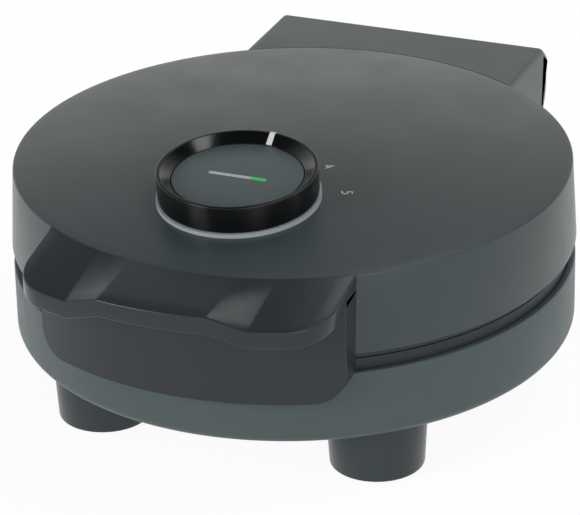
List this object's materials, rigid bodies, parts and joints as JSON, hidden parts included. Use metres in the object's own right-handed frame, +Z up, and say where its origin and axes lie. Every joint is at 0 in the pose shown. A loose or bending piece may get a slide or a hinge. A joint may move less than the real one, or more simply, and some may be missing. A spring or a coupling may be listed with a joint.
{
  "type": "electric krumkake iron",
  "caption": "Round electric iron for thin waffle cones: domed lid with temperature dial and waved front lip, hinged at the back over a base on round feet.",
  "frame": {"origin": "middle of the footprint, on the surface that the feet stand on", "axes": "+Z up, +Y towards the hinge at the back, +X to the right of someone facing the handle"},
  "size_m": [0.2276, 0.2851, 0.1181],
  "materials": {
    "base_plastic": "satin moulded",
    "lid_plastic": "satin moulded",
    "rim_plastic": "satin moulded",
    "handle_plastic": "semi-gloss moulded",
    "hinge_plastic": "satin moulded",
    "foot_plastic": "satin moulded",
    "inner_plastic": "heat-resistant moulded",
    "pad_rubber": "matt",
    "gland_rubber": "matt",
    "steel": "zinc plated",
    "plate_coating": "non-stick coated cast aluminium",
    "heater_steel": "heat-tinted tube",
    "reflector_metal": "bare sheet",
    "lead_insulation": "silicone sleeve",
    "dial_gloss": "high gloss",
    "dial_seat_plastic": "satin",
    "disc_plastic": "fine satin",
    "pointer_white": "white inlay",
    "lens": "frosted light guide",
    "board": "printed board",
    "lamp": "green lamp",
    "shaft_brass": "turned",
    "gear_plastic": "natural"
  },
  "bodies": {
    "base": {"base_shell": "base_plastic", "base_rim_ring": "rim_plastic", "feet": "foot_plastic", "foot_pads": "pad_rubber", "foot_screws": "steel", "base_screws": "steel", "lower_baking_plate": "plate_coating", "lower_heating_tube": "heater_steel", "lower_reflector": "reflector_metal", "lower_plate_screws": "steel", "terminal_block": "inner_plastic", "thermal_fuse": "inner_plastic", "base_leads": "lead_insulation", "cord_gland": "gland_rubber", "hinge_bracket": "hinge_plastic", "bracket_screws": "steel", "hinge_pins": "steel"},
    "lid": {"lid_shell": "lid_plastic", "lid_rim_ring": "rim_plastic", "lid_screws": "steel", "lid_handle": "handle_plastic", "handle_screws": "steel", "hinge_cover": "hinge_plastic", "cover_screws": "steel", "upper_baking_plate": "plate_coating", "upper_heating_tube": "heater_steel", "upper_reflector": "reflector_metal", "upper_plate_screws": "steel", "thermostat": "inner_plastic", "thermostat_bracket": "steel", "bracket_nuts": "steel", "lid_leads": "lead_insulation", "dial_seat": "dial_seat_plastic", "dial_seat_screws": "steel", "dial_disc": "disc_plastic", "light_bar": "lens", "lamp_board": "board", "indicator_lamps": "lamp"},
    "dial": {"dial_ring": "dial_gloss", "dial_pointer": "pointer_white"},
    "spindle": {"thermostat_shaft": "shaft_brass", "shaft_pinion": "gear_plastic"}
  },
  "joints": [
    {"name": "lid_hinge", "type": "hinge", "parent": "base", "child": "lid", "pos_m": [0, 0.11855, 0.0819], "axis": [-1, 0, 0], "range_deg": [0, 100]},
    {"name": "dial_turn", "type": "hinge", "parent": "lid", "child": "dial", "pos_m": [0, -0.05615, 0.10226], "axis": [0, -0.0819, 0.9966], "range_deg": [-60, 60]},
    {"name": "spindle_turn", "type": "hinge", "parent": "lid", "child": "spindle", "pos_m": [0, -0.0701, 0.10112], "axis": [0, -0.0819, 0.9966], "range_deg": [-150, 150]}
  ],
  "couplings": [
    {"joint": "spindle_turn", "follows": "dial_turn", "ratio": 2.4}
  ]
}
